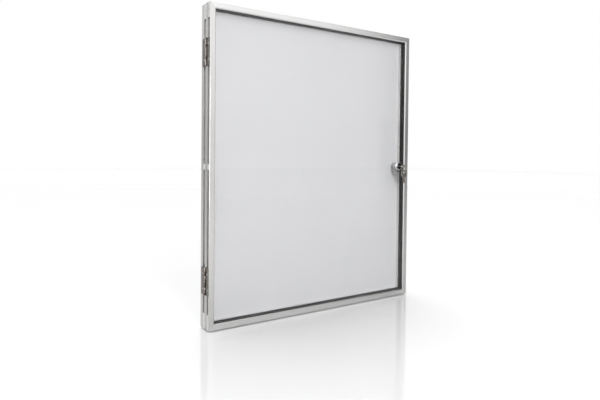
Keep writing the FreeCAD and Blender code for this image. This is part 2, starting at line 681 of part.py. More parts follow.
PANEL_BACK = f"({PANEL_FRONT} + panel_thick)"
TRAY_INSIDE = f"({PANEL_EDGE} + tray_sheet)"
piece(
    difference(
        "panel_tray",
        panel_block("tray_outside", PANEL_EDGE, PANEL_FRONT, PANEL_BACK),
        [panel_block("tray_inside", TRAY_INSIDE, f"{PANEL_FRONT} + tray_sheet", f"{PANEL_BACK} + fit")],
    )
)
piece(
    panel_block(
        "panel_core", f"{TRAY_INSIDE} + fit", f"{PANEL_FRONT} + tray_sheet", f"{PANEL_BACK} - rear_sheet"
    )
)
piece(panel_block("panel_rear_sheet", f"{TRAY_INSIDE} + fit", f"{PANEL_BACK} - rear_sheet", PANEL_BACK))


# Pane, with its hole for the lock

sheet_of_pane = panel_block("pane_blank", PANE_EDGE, "pane_front", PANE_BACK)
hole_back = f"{PANE_BACK} + fit - {DEPTH}"
lock_hole = cylinder("pane_hole", PANE_HOLE, "2 * pane_thick", LOCK_X, hole_back, "clip_rise", LENGTHWISE, 90)
piece(difference("door_pane", sheet_of_pane, [lock_hole]))


# Hinges. A leaf is drawn round its pin: the board is towards +X and the leaf runs towards +Y.


def leaf_outline(sketch, wide):
    """A leaf rolled round its pin: one long arc, and a plate whose inner face lies on the side."""
    radius = value("barrel_radius")
    inner = value(HINGE_OUT)
    outer = value(f"{HINGE_OUT} - leaf_thick")
    step = value(LEAF_STEP)
    end = value(wide)
    start = Vector(outer, (radius**2 - outer**2) ** 0.5, 0)
    barrel = Part.Circle(Vector(0, 0, 0), Vector(0, 0, 1), radius)
    arc = Part.ArcOfCircle(barrel, Vector(1, 0, 0).getAngle(start), 2 * math.pi)
    corners = [Vector(radius, 0, 0), Vector(radius, step, 0), Vector(inner, step, 0)]
    corners += [Vector(inner, end, 0), Vector(outer, end, 0), start]
    lines = [Part.LineSegment(a, b) for a, b in zip(corners, corners[1:])]
    sketch.addGeometry([arc] + lines)
    rules = [("Coincident", 0, 3, -1, 1), ("Coincident", 5, 2, 0, 1), ("PointOnObject", 0, 2, -1)]
    rules += [("Coincident", line, 2, line + 1, 1) for line in range(5)]
    rules += [("Vertical", line) for line in (1, 3, 5)]
    rules += [("Horizontal", line) for line in (2, 4)]
    sketch.addConstraint([Sketcher.Constraint(*rule) for rule in rules])
    measures = [
        (("Radius", 0), "barrel_radius"),
        (("DistanceX", -1, 1, 3, 1), HINGE_OUT),
        (("DistanceX", -1, 1, 5, 1), f"{HINGE_OUT} - leaf_thick"),
        (("DistanceY", -1, 1, 2, 1), LEAF_STEP),
        (("DistanceY", -1, 1, 4, 1), wide),
    ]
    for rule, text in measures:
        number = sketch.addConstraint(Sketcher.Constraint(*rule, value(text)))
        sketch.setExpression(f"Constraints[{number}]", cells(text))


def hinge_leaf(label, wide, screws_at, outer_knuckles):
    """A leaf with its screw holes, and knuckles at its ends or in its middle."""
    body = new_body(label)
    profile = sketch_on(body, "XY_Plane")
    leaf_outline(profile, wide)
    circle(profile, "0", "0", "pin_radius + pin_fit")
    pad(body, profile, "hinge_high", both_ways=True)
    middle = f"{HINGE_OUT} - leaf_thick / 2"
    dress(body, "Fillet", "leaf_round", [(middle, wide, f"{sign}hinge_high / 2") for sign in ("", "-")])
    notches = sketch_on(body, "YZ_Plane")
    rows = [("-knuckle_high / 2 - knuckle_gap", "knuckle_high / 2 + knuckle_gap")]
    if not outer_knuckles:
        rows = [("knuckle_high / 2", "hinge_high"), ("-hinge_high", "-knuckle_high / 2")]
    for low, high in rows:
        rectangle(notches, "-2 * barrel_radius", LEAF_STEP, low, high)
    pocket(body, notches)
    narrow = "screw_radius + thread_gap"
    face = f"{HINGE_OUT} - leaf_thick"
    for row in SCREW_ROWS:
        countersink(body, "YZ_Plane", screws_at, row, face, f"{narrow} + leaf_thick", narrow, "leaf_thick")
    return body


def at_hinge(thing, sign, flip):
    """Puts a piece that is drawn round the pin at the upper or the lower hinge."""
    z = f"{sign}(height / 2 - hinge_inset)"
    x = f"-width / 2 - {HINGE_OUT}"
    return place(thing, x, f"{HINGE_BACK} - {DEPTH}", z, LENGTHWISE, 180 if flip else 0)


def leaf_screws(label, screws_at):
    """The countersunk screws of a leaf, drawn round the pin."""
    screws = []
    face = f"{HINGE_OUT} - leaf_thick"
    shank_long = "wall + fit + nut_plate_thick"
    for number, row in enumerate(SCREW_ROWS, start=1):
        name = f"{label}_{number}"
        head = doc.addObject("Part::Cone", f"{name}_head")
        tie(head, Radius1="screw_radius + leaf_thick", Radius2="screw_radius", Height="leaf_thick")
        place(head, face, screws_at, row, ACROSS, 90)
        shank = cylinder(f"{name}_shank", "screw_radius", shank_long, HINGE_OUT, screws_at, row, ACROSS, 90)
        socket = doc.addObject("Part::Prism", f"{name}_socket")
        tie(socket, Circumradius="grub_socket", Height="screw_socket")
        place(socket, face, screws_at, row, ACROSS, 90)
        screws.append(difference(name, union(f"{name}_blank", [head, shank]), [socket]))
    return screws


def hinge(name, sign):
    """One hinge: two leaves, their nut plates in the slots and a headed pin."""
    for part, wide, screws_at, slot_cavity, flip in HINGE_HALVES:
        at_hinge(hinge_leaf(f"{name}_{part}_leaf", wide, screws_at, part == "frame"), sign, flip)
        near, far = slot_cavity
        x = ["-width / 2 + wall + fit", "-width / 2 + wall + fit + nut_plate_thick"]
        y = [f"{near} + fit - {DEPTH}", f"{far} - fit - {DEPTH}"]
        centre = f"{sign}(height / 2 - hinge_inset)"
        half = "(screw_pitch / 2 + nut_plate_end)"
        low = [x[0], y[0], f"{centre} - {half}"]
        high = [x[1], y[1], f"{centre} + {half}"]
        blank = box(f"{name}_{part}_nut_blank", low, high)
        across = f"{HINGE_BACK} {'-' if flip else '+'} {screws_at} - {DEPTH}"
        holes = [
            cylinder(
                f"{name}_{part}_nut_hole_{number}", "screw_radius + thread_gap", "3 * nut_plate_thick",
                "-width / 2", across, f"{centre} + {row}", ACROSS, 90,
            )
            for number, row in enumerate(SCREW_ROWS, start=1)
        ]
        piece(difference(f"{name}_{part}_nut_plate", blank, holes))
    body = new_body(f"{name}_pin")
    profile = sketch_on(body, "XZ_Plane")
    half = "(hinge_high / 2 + pin_fit)"
    top = f"{half} + pin_head_high"
    head = [("0", top), ("pin_head", top), ("pin_head", half), ("pin_radius", half)]
    outline(profile, head + [("pin_radius", f"-{half}"), ("0", f"-{half}")])
    revolve(body, profile)
    at_hinge(body, sign, False)


SCREW_ROWS = ("(-screw_pitch / 2)", "(screw_pitch / 2)")
HINGE_HALVES = [
    ("frame", FRAME_LEAF, f"({FRAME_SLOT_MIDDLE} - {HINGE_BACK})", FRAME_CAVITY, False),
    ("door", DOOR_LEAF, f"({HINGE_BACK} - {DOOR_SLOT_MIDDLE})", DOOR_CAVITY, True),
]
HINGES = {"upper_hinge": "", "lower_hinge": "-"}
for name, sign in HINGES.items():
    hinge(name, sign)
for part, wide, screws_at, slot_cavity, flip in HINGE_HALVES:
    label = f"{part}_hinge_screws"
    screws = leaf_screws(f"{part}_leaf_screw", screws_at)
    halves = [at_hinge(group(f"{part}_{name}_screws", screws), sign, flip) for name, sign in HINGES.items()]
    piece(group(label, halves))


# Lock: housing, gasket, washer and nut on the door; plug, cam and key turn in it


def out(distance):
    """Y of a place that lies this far in front of the pane."""
    return f"(pane_front - {DEPTH} - ({distance}))"


def at_lock(thing):
    """Moves a piece that is drawn round the lock's axis to the lock."""
    return place(thing, LOCK_X, "0", "clip_rise")


def turned(label, corners):
    """A piece turned round the lock's axis, from radii and distances in front of the pane."""
    body = new_body(label)
    profile = sketch_on(body, "XY_Plane")
    outline(profile, [(radius, out(distance)) for radius, distance in corners])
    revolve(body, profile)
    return at_lock(body)


def turned_ring(label, inner, outer, near, far):
    """A plain ring round the lock's axis."""
    return turned(label, [(inner, near), (outer, near), (outer, far), (inner, far)])


BORE = "plug_radius + turn_gap"
BARREL_BACK = f"-({PLUG_BACK} - barrel_short)"
turned(
    "lock_housing",
    [
        (BORE, "head_out"),
        (BORE, BARREL_BACK),
        ("barrel_lock", BARREL_BACK),
        ("barrel_lock", "lock_gasket"),
        (FLANGE, "lock_gasket"),
        (FLANGE, "flange_out - flange_bevel"),
        (f"{FLANGE} - flange_bevel", "flange_out"),
        ("head_radius", "flange_out"),
        ("head_radius", "head_out - head_edge"),
        ("head_radius - head_edge", "head_out"),
    ],
)
WASHER_BACK = "-(pane_thick + lock_washer)"
turned_ring("lock_gasket", PANE_HOLE, f"{FLANGE} - fit", "0", "lock_gasket")
turned_ring("lock_washer", PANE_HOLE, f"{PANE_HOLE} + washer_wide", "-pane_thick", WASHER_BACK)

nut_blank = doc.addObject("Part::Prism", "nut_blank")
tie(nut_blank, Circumradius="barrel_lock + nut_wide", Height="nut_high")
nut_front = out(WASHER_BACK)
place(nut_blank, LOCK_X, nut_front, "clip_rise", LENGTHWISE, -90)
bore_front = f"{nut_front} - nut_high / 2"
bore_radius = "barrel_lock + thread_gap"
nut_bore = cylinder("nut_bore", bore_radius, "2 * nut_high", LOCK_X, bore_front, "clip_rise", LENGTHWISE, -90)
piece(difference("lock_nut", nut_blank, [nut_bore]))


def lifted(distance):
    """Lift of an XZ sketch that lies this far in front of the pane."""
    return f"{DEPTH} - pane_front + ({distance})"


def lock_plug():
    """The plug: a barrel with a square tail behind, a keyway and a tapped hole."""
    body = new_body("lock_plug")
    barrel = sketch_on(body, "XZ_Plane", lifted(f"-{PLUG_BACK}"))
    circle(barrel, "0", "0", "plug_radius")
    pad(body, barrel, f"{PLUG_BACK} + head_out - plug_sunk")
    tail = sketch_on(body, "XZ_Plane", lifted(f"-({PLUG_BACK} + {TAIL_LONG})"))
    rectangle(tail, "-tail_side / 2", "tail_side / 2", "-tail_side / 2", "tail_side / 2")
    pad(body, tail, TAIL_LONG)
    keyway = sketch_on(body, "XZ_Plane", lifted("head_out - plug_sunk"))
    half_wide = "(blade_wide / 2 + keyway_play)"
    half_high = "(key_thick / 2 + keyway_play)"
    rectangle(keyway, f"-{half_wide}", half_wide, f"-{half_high}", half_high)
    pocket(body, keyway, f"{BLADE_LONG} - key_seat - plug_sunk + keyway_play")
    tapped = sketch_on(body, "XZ_Plane", lifted(f"-({PLUG_BACK} + {TAIL_LONG})"))
    circle(tapped, "0", "0", "cam_screw + thread_gap")
    pocket(body, tapped, f"cam_screw_long - cam_washer - cam_thick + {TAIL_LONG}", along_normal=True)
    return at_lock(body)


def lock_cam():
    """The cam: a flat tongue on the plug's square tail, hanging down when unlocked."""
    body = new_body("lock_cam")
    half = "cam_wide / 2"
    tongue = sketch_on(body, "XZ_Plane", lifted(f"-({PLUG_BACK} + cam_thick)"))
    rectangle(tongue, f"-{half}", half, "-cam_reach", half)
    pad(body, tongue, "cam_thick")
    middle = out(f"-({PLUG_BACK} + cam_thick / 2)")
    corners = [(x, middle, z) for x in (half, f"-{half}") for z in (half, "-cam_reach")]
    dress(body, "Fillet", "cam_round", corners)
    hole = sketch_on(body, "XZ_Plane")
    side = "(tail_side / 2 + tail_fit)"
    rectangle(hole, f"-{side}", side, f"-{side}", side)
    pocket(body, hole)
    return at_lock(body)


lock_plug()
lock_cam()
CAM_BACK = f"-({PLUG_BACK} + cam_thick)"
SCREW_SEAT = f"{CAM_BACK} - cam_washer"
turned_ring("cam_washer", "cam_screw + thread_gap", "cam_washer_radius", CAM_BACK, SCREW_SEAT)
turned(
    "cam_screw",
    [
        ("0", f"{SCREW_SEAT} + cam_screw_long - fit"),
        ("cam_screw", f"{SCREW_SEAT} + cam_screw_long - fit"),
        ("cam_screw", SCREW_SEAT),
        ("cam_head", SCREW_SEAT),
        ("cam_head", f"{SCREW_SEAT} - cam_head_high"),
        ("0", f"{SCREW_SEAT} - cam_head_high"),
    ],
)


# Keys. A key is drawn flat with its shoulder at the origin, its bow towards -Y and its blade
# towards +Y.


def key_body(label):
    """One key: a bow with an eye, a neck, and a blade with its cuts and grooves."""
    body = new_body(label)
    profile = sketch_on(body, "XY_Plane")
    right = [
        ("bow_wide / 2", "-bow_long"),
        ("bow_wide / 2", "-bow_taper"),
        ("neck_wide / 2", "0"),
        ("blade_wide / 2", "0"),
        ("blade_wide / 2", f"{BLADE_LONG} - blade_tip"),
        ("blade_wide / 2 - blade_tip", BLADE_LONG),
    ]
    left = [(f"-({x})", y) for x, y in reversed(right)]
    outline(profile, right + left)
    pad(body, profile, "key_thick", both_ways=True)
    bow_corners = [(f"{sign}bow_wide / 2", y, "0") for sign in ("", "-") for y in ("-bow_long", "-bow_taper")]
    far = [corner for corner in bow_corners if corner[1] == "-bow_long"]
    near = [corner for corner in bow_corners if corner[1] == "-bow_taper"]
    dress(body, "Fillet", "bow_round", far)
    dress(body, "Fillet", "bow_taper", near)
    eye = sketch_on(body, "XY_Plane")
    low = f"-{KEY_EYE} - eye_high / 2"
    high = f"-{KEY_EYE} + eye_high / 2"
    rectangle(eye, "-eye_wide / 2", "eye_wide / 2", low, high)
    pocket(body, eye)
    eye_corners = [(f"{sign}eye_wide / 2", y, "0") for sign in ("", "-") for y in (low, high)]
    dress(body, "Fillet", "eye_round", eye_corners)
    bits = sketch_on(body, "XY_Plane")
    for number, deep in enumerate(BITTING, start=1):
        edge = "blade_wide / 2"
        outline(
            bits,
            [
                (f"{edge} + bit_half", f"{number} * bit_pitch - 2 * bit_half"),
                (f"{edge} - {deep}", f"{number} * bit_pitch"),
                (f"{edge} + bit_half", f"{number} * bit_pitch + 2 * bit_half"),
            ],
        )
    pocket(body, bits)
    for sign, towards in (("", False), ("-", True)):
        groove = sketch_on(body, "XY_Plane", f"{sign}key_thick / 2")
        middle = f"{sign}key_groove_set"
        left, right = f"{middle} - key_groove_wide / 2", f"{middle} + key_groove_wide / 2"
        rectangle(groove, left, right, "0", f"{BLADE_LONG} + fit")
        pocket(body, groove, "key_groove_deep", along_normal=towards)
    return body


def key_ring():
    """Split ring, drawn round the X axis: two turns side by side, each ending at a slit."""
    body = new_body("key_ring")
    profile = sketch_on(body, "XY_Plane")
    half = "ring_wide / 2"
    outer = "(ring_inner + ring_wall)"
    groove = [("ring_groove", outer), ("0", f"{outer} - ring_groove"), ("-ring_groove", outer)]
    right = [(f"{half} - ring_edge", "ring_inner"), (half, "ring_inner + ring_edge"), (half, outer)]
    left = [(f"-({x})", y) for x, y in reversed(right)]
    outline(profile, groove + left + right)
    revolve(body, profile, "H_Axis")
    for sign, towards in (("", True), ("-", False)):
        slit = sketch_on(body, "YZ_Plane")
        rows = sorted([f"{sign}ring_slit / 2", f"{sign}3 * ring_slit / 2"], key=value)
        rectangle(slit, f"-({outer} + fit)", "-(ring_inner - fit)", *rows)
        pocket(body, slit, "ring_wide", along_normal=towards)
    return body


place(key_body("key"), LOCK_X, KEY_SHOULDER, "clip_rise")
place(key_ring(), LOCK_X, RING_Y, RING_Z)
spare_z = f"{RING_Z} - ring_inner + ring_play - eye_high / 2 - {KEY_EYE}"
place(key_body("spare_key"), LOCK_X, RING_Y, spare_z, LENGTHWISE, -90)


# Checks of the model, then one file for each piece

doc.recompute()
failed = [thing.Label for thing in doc.Objects if {"Invalid", "Error"} & set(thing.State)]
for thing in pieces:
    if thing.Shape.isNull() or not thing.Shape.isValid():
        failed.append(f"{thing.Label} has no valid shape")
for feature in cuts:
    if feature.Shape.Volume > feature.BaseFeature.Shape.Volume - LEAST_CUT:
        failed.append(f"a cut in {feature.getParentGeoFeatureGroup().Label} takes nothing away")
if failed:
    raise SystemExit(f"failed: {failed}")

os.makedirs("parts", exist_ok=True)
for thing in pieces:
    thing.Shape.exportStep(f"parts/{thing.Label}.step")
print(len(pieces), "pieces written")
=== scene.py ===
# %% [markdown]
# # A lockable notice board
#
# The board has two mitred aluminium frames. The rear one holds a white steel panel and is
# screwed to a wall. The front one is a door with a clear pane, two side hinges and a cylinder
# lock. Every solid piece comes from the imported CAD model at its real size, so this script does
# what is left: a finish for each surface, small rounded edges, floor, light and camera.
#
# The model is loaded first, because everything below is placed from it.

import json
import math

import bpy
from mathutils import Matrix, Vector

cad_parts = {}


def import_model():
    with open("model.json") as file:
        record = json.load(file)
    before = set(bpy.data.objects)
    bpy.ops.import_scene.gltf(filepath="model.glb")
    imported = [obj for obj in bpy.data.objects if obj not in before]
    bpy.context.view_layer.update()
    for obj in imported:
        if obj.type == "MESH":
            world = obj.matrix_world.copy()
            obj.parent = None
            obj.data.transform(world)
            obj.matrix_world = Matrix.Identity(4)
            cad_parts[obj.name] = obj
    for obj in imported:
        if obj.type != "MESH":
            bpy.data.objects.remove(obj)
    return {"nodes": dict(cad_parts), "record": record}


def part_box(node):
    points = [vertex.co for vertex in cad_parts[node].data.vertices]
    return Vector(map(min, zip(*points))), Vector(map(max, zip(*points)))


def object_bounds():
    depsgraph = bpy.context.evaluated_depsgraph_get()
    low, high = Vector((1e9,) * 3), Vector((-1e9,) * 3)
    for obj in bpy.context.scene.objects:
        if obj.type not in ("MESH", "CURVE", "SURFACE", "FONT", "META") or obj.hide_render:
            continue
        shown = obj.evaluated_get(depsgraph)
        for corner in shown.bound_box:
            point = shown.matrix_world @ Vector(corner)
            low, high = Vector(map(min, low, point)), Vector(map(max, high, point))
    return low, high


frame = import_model()
CAD_BOX = [list(corner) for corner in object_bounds()]
NODES = frame["nodes"]
LOW, HIGH = (Vector(corner) for corner in CAD_BOX)
print(len(NODES), "pieces, from", [round(x, 4) for x in LOW], "to", [round(x, 4) for x in HIGH])

# %% [markdown]
# Sizes that the finishes need are read from the pieces themselves, so they follow the model
# when it changes. The board is centred on its own origin, so the outer top corner of the door's
# right stile gives half its width and half its height.

# %% Sizes read from the pieces
MM = 0.001
DOOR_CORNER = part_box("door_right_stile")[1]
HALF_WIDE = DOOR_CORNER.x
HALF_HIGH = DOOR_CORNER.z
FOOT = LOW.z
print(f"board {2 * HALF_WIDE / MM:.0f} x {2 * HALF_HIGH / MM:.0f} mm, with its foot at z {FOOT:.3f} m")

# %% [markdown]
# ## A small language for materials
#
# A finish is easier to read as a sum than as a web of boxes and wires. `Wire` wraps one socket
# of a node. Arithmetic on it adds a Math node for each sign, and it works with a plain number
# on either side, so `1 - mask` means what it says.


# %% Wires
class Wire:
    """One output socket of a finish. Arithmetic on it adds Math nodes."""

    def __init__(self, finish, socket):
        self.finish = finish
        self.socket = socket

    def maths(self, operation, *values):
        sockets = dict(zip(("Value", "Value_001"), values))
        return self.finish.node("Math", {"operation": operation}, sockets)

    def __add__(self, other):
        return self.maths("ADD", self, other)

    def __radd__(self, other):
        return self.maths("ADD", other, self)

    def __sub__(self, other):
        return self.maths("SUBTRACT", self, other)

    def __rsub__(self, other):
        return self.maths("SUBTRACT", other, self)

    def __mul__(self, other):
        return self.maths("MULTIPLY", self, other)

    def __rmul__(self, other):
        return self.maths("MULTIPLY", other, self)

    def __truediv__(self, other):
        return self.maths("DIVIDE", self, other)

    def __rtruediv__(self, other):
        return self.maths("DIVIDE", other, self)

    def __pow__(self, other):
        return self.maths("POWER", self, other)

    def __rpow__(self, other):
        return self.maths("POWER", other, self)

    def __abs__(self):
        return self.maths("ABSOLUTE", self)

    def step(self, low, high):
        """0 below low, 1 above high, and smooth between them."""
        ranges = {"From Min": low, "From Max": high, "Value": self}
        return self.finish.node("MapRange", {"interpolation_type": "SMOOTHSTEP"}, ranges)

    def spread(self, low, high):
        """low where the wire is 0, high where it is 1, and in proportion between them."""
        return low + self * (high - low)


print("signs of a wire: + - * / ** and abs")

# %% [markdown]
# `Finish` makes a material, or the world. Its method `node` makes any kind of node: first the
# type, then the settings, then what the sockets are fed with. The other methods are short names
# for the few nodes that most finishes need. The sockets of the main shader have plain names too.

# %% Finishes
SOCKETS = {
    "colour": "Base Color",
    "rough": "Roughness",
    "metal": "Metallic",
    "normal": "Normal",
    "shine": "Specular IOR Level",
    "glass": "Transmission Weight",
    "bend": "IOR",
}


def grey(level):
    """A colour with its three parts alike."""
    return (level, level, level)


class Finish:
    """A material or a world, built node by node."""

    def __init__(self, name, kind="materials"):
        self.owner = getattr(bpy.data, kind).new(name)
        self.owner.use_nodes = True
        self.tree = self.owner.node_tree
        self.tree.nodes.clear()

    def feed(self, place, value):
        """Links a wire to a socket, or sets the socket's own value."""
        if isinstance(value, Wire):
            self.tree.links.new(value.socket, place)
        elif place.type == "RGBA":
            place.default_value = (*value, 1.0)
        else:
            place.default_value = value

    def node(self, kind, settings=None, sockets=None, output=None):
        """Any node: its type, its settings, and the values or wires of its sockets."""
        made = self.tree.nodes.new(f"ShaderNode{kind}")
        for name, value in (settings or {}).items():
            if name == "stops":
                self.fill_ramp(made.color_ramp, value)
            else:
                setattr(made, name, value)
        for name, value in (sockets or {}).items():
            place = next(x for x in made.inputs if x.enabled and name in (x.name, x.identifier))
            self.feed(place, value)
        outputs = [made.outputs[output]] if output else [x for x in made.outputs if x.enabled]
        return Wire(self, outputs[0]) if outputs else None

    def fill_ramp(self, ramp, stops):
        """Gives a ramp its stops, each a place from 0 to 1 and a level of grey."""
        for place, level in stops[len(ramp.elements):]:
            ramp.elements.new(place)
        for element, (place, level) in zip(ramp.elements, stops):
            element.position = place
            element.color = (*grey(level), 1.0)

    def place(self, stretch=(1.0, 1.0, 1.0)):
        """The piece's own coordinates in metres, stretched along its axes."""
        point = self.node("TexCoord", output="Object")
        sockets = {"Vector": point, "Vector_001": stretch}
        return self.node("VectorMath", {"operation": "MULTIPLY"}, sockets)

    def axes(self, vector):
        """The three numbers of a vector."""
        split = self.node("SeparateXYZ", sockets={"Vector": vector}).socket.node
        return [Wire(self, socket) for socket in split.outputs]

    def noise(self, place, scale, detail=2.0, roughness=0.5):
        """Smooth random values from 0 to 1 over a place."""
        sockets = {"Vector": place, "Scale": scale, "Detail": detail, "Roughness": roughness}
        return self.node("TexNoise", {"noise_dimensions": "3D"}, sockets)

    def tint(self, factor, low, high):
        """A colour between two others."""
        return self.node("Mix", {"data_type": "RGBA"}, {"Factor": factor, "A": low, "B": high})

    def bump(self, height, distance, strength):
        """A normal from a height of 0 to 1, with its depth in metres."""
        return self.node("Bump", sockets={"Height": height, "Distance": distance, "Strength": strength})

    def shader(self, **named):
        """The main shader, with its sockets named in plain words."""
        sockets = {SOCKETS[name]: value for name, value in named.items()}
        return self.node("BsdfPrincipled", sockets=sockets)

    def show(self, shader, output="OutputMaterial"):
        """Wires a shader to the output, and hands back the material or world."""
        self.node(output, sockets={"Surface": shader})
        return self.owner

    def surface(self, **named):
        """A material with nothing but the main shader."""
        return self.show(self.shader(**named))


print("the main shader's sockets:", ", ".join(SOCKETS))

# %% [markdown]
# ## Satin aluminium
#
# The frames are extruded and then anodised. The die leaves faint lines along each profile, the
# anodising makes the surface satin and a little uneven over a hand's width, and each corner
# shows the dark hairline of its mitre, where width and height left to the corner are alike.
# Lines run along X on the rails and along Z on the stiles, so the finish is made twice by one
# function. The stiles are also given a darker tone than the rails, which is painted shade: it
# stands in for the light from above that lines along a rail gather and lines along a stile don't.
# Everything is worked out from the piece's own coordinates in metres, so the lines keep their
# real size.

# %% Anodised extrusions
ALONG_RAIL = (9.0, 900.0, 900.0)
ALONG_STILE = (900.0, 900.0, 9.0)
SATIN_ROUGH = (0.17, 0.27)
SEAM = 0.12 * MM
SEAM_COLOUR = grey(0.10)
SEAM_SHARE = 0.6
SEAM_ROUGH = 0.3


def anodised(name, along, dark, pale):
    finish = Finish(name)
    lines = finish.noise(finish.place(along), scale=1.0, detail=3.0)
    clouds = finish.noise(finish.place(), scale=14.0)
    x, y, z = finish.axes(finish.place())
    to_side = HALF_WIDE - abs(x)
    to_end = HALF_HIGH - abs(z)
    seam = 1 - abs(to_side - to_end).step(SEAM / 3, SEAM)
    satin = finish.tint((lines + clouds) / 2, dark, pale)
    colour = finish.tint(seam * SEAM_SHARE, satin, SEAM_COLOUR)
    rough = lines.spread(*SATIN_ROUGH) + seam * SEAM_ROUGH
    normal = finish.bump(lines, distance=0.02 * MM, strength=0.35)
    return finish.surface(colour=colour, metal=1.0, rough=rough, normal=normal)


# The stiles' darker tone is painted shade, and the rails' paler tone is the lit copy of the same metal.
LIT_RAIL_METAL = anodised("anodised_rail_lit", ALONG_RAIL, (0.705, 0.70, 0.695), (0.80, 0.80, 0.795))
SHADED_STILE_METAL = anodised("anodised_stile_shaded", ALONG_STILE, (0.64, 0.63, 0.62), (0.73, 0.725, 0.715))
print("satin aluminium for rails and for stiles")

# %% [markdown]
# ## Clear pane
#
# The pane is a thick sheet of clear plastic. A glass shader bends and mirrors light as the real
# sheet does, but it would also keep the lamp from lighting what lies behind it, so a Light Path
# node lets shadow rays through. A pane that has been wiped clean still holds faint streaks,
# which show as a slightly duller gloss.

# %% Pane
PANE_BEND = 1.35
ALONG_WIPE = (40.0, 40.0, 6.0)
STREAKS = (0.45, 0.80)
STREAK_ROUGH = 0.02
CLEAN, WIPED = (1.0, 1.0, 1.0), (0.985, 0.99, 0.99)


def clear_pane():
    finish = Finish("clear_pane")
    streaks = finish.noise(finish.place(ALONG_WIPE), scale=1.0, detail=3.0).step(*STREAKS)
    colour = finish.tint(streaks, CLEAN, WIPED)
    sheet = finish.shader(colour=colour, rough=streaks * STREAK_ROUGH, glass=1.0, bend=PANE_BEND)
    open_way = finish.node("BsdfTransparent")
    shadow_ray = finish.node("LightPath", output="Is Shadow Ray")
    either = {"Fac": shadow_ray, "Shader": sheet, "Shader_001": open_way}
    return finish.show(finish.node("MixShader", sockets=either))


PANE = clear_pane()
print("pane of clear plastic")

# %% [markdown]
# ## Painted steel panel
#
# The back panel is a tray of sheet steel with a stoved white finish. Such paint is smooth with
# a faint orange peel, and it is slightly glossy, so it shows soft reflections. Behind the pane
# and in this light it reads as a pale grey, and its own colour is set for that.

# %% White panel
PANEL_DARK, PANEL_PALE = (0.375, 0.375, 0.383), (0.395, 0.395, 0.403)
PANEL_ROUGH = (0.32, 0.38)


def white_panel():
    finish = Finish("white_panel")
    peel = finish.noise(finish.place(), scale=420.0)
    clouds = finish.noise(finish.place(), scale=6.0)
    colour = finish.tint(clouds, PANEL_DARK, PANEL_PALE)
    normal = finish.bump(peel, distance=0.02 * MM, strength=0.25)
    return finish.surface(colour=colour, rough=peel.spread(*PANEL_ROUGH), normal=normal, shine=0.5)


WHITE = white_panel()
print("white stoved panel")

# %% [markdown]
# ## Rubber and black plastic
#
# The gaskets and the door seal are soft extruded rubber with a dull skin. The glazing beads are
# a harder black plastic with a little more gloss. Both carry fine specks of dust, so the black
# is never one flat value.

# %% Black trim
DUST = (0.45, 0.80)
SKIN_SPREAD = 0.12


def black_trim(name, dark, pale, rough, grain):
    finish = Finish(name)
    specks = finish.noise(finish.place(), scale=grain, detail=4.0, roughness=0.7)
    skin = finish.noise(finish.place(), scale=60.0)
    colour = finish.tint(specks.step(*DUST), dark, pale)
    dullness = skin.spread(rough, rough + SKIN_SPREAD)
    normal = finish.bump(specks, distance=0.05 * MM, strength=0.4)
    return finish.surface(colour=colour, rough=dullness, normal=normal, shine=0.3)


RUBBER = black_trim("black_rubber", grey(0.008), (0.022, 0.021, 0.021), rough=0.55, grain=900.0)
BEAD = black_trim("black_plastic", grey(0.009), grey(0.020), rough=0.34, grain=600.0)
print("rubber and black plastic")

# %% [markdown]
# ## Moulded grey plastic
#
# Corner connectors and clips are moulded in light grey plastic. The mould is spark eroded, so
# the skin has a fine even grain.

# %% Corner plastic
MOULDED_ROUGH = (0.42, 0.52)


def moulded_grey():
    finish = Finish("corner_plastic")
    grain = finish.noise(finish.place(), scale=1500.0, detail=1.0)
    flow = finish.noise(finish.place(), scale=45.0)
    colour = finish.tint(flow, (0.62, 0.62, 0.61), (0.70, 0.70, 0.69))
    normal = finish.bump(grain, distance=0.06 * MM, strength=0.5)
    return finish.surface(colour=colour, rough=grain.spread(*MOULDED_ROUGH), normal=normal)


MOULDED = moulded_grey()
print("grey moulded plastic")

# %% [markdown]
# ## The lock's dark face
#
# The lock's head is chromed, and its round face looks black inside a bright rim. That may be a
# dark finish, or bright metal that mirrors something dark. Here it is a dark finish, because it
# then stays dark from every side. A mask finds the face by its distance from the lock's middle
# and by its depth.

# %% Mask of the lock's face
HOUSING_LOW, HOUSING_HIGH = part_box("lock_housing")
LOCK_MIDDLE = (HOUSING_LOW + HOUSING_HIGH) / 2
FACE_RADIUS = 8.6 * MM
FACE_DEPTH = 0.6 * MM
FACE_EDGE = 0.2 * MM
FACE_COLOUR = (0.02, 0.02, 0.021)


def lock_face(finish):
    """1 on the round front of the lock's head, inside its bright rim."""
    x, y, z = finish.axes(finish.place())
    across = x - LOCK_MIDDLE.x
    up = z - LOCK_MIDDLE.z
    reach = (across * across + up * up) ** 0.5
    back = HOUSING_LOW.y + FACE_DEPTH
    past_rim = reach.step(FACE_RADIUS - FACE_EDGE, FACE_RADIUS)
    behind = y.step(back - FACE_EDGE, back)
    return (1 - past_rim) * (1 - behind)


print(f"dark face {2 * FACE_RADIUS / MM:.1f} mm across, at x {LOCK_MIDDLE.x:.3f}, z {LOCK_MIDDLE.z:.3f} m")

# %% [markdown]
# ## Bright metals
#
# Hinges are rolled from polished stainless strip, screws and the cam are zinc plated, the lock
# is chromed and the keys are nickel plated. They differ in colour, in how rough they are and in
# their marks: strip has lines along the pin, plating is cloudy, and keys are scratched. The
# hinges' dark brownish tone is a painted dark reflection, standing in for the dark surroundings
# that their polished strip mirrors.

# %% Steel, zinc, chrome and nickel
ALONG_PIN = (8.0, 8.0, 0.5)
ALONG_SCRATCH = (1.0, 6.0, 0.4)
SCRATCHES = (0.62, 0.68)
SCRATCH_ROUGH = 0.2
MARK_ROUGH = 0.08
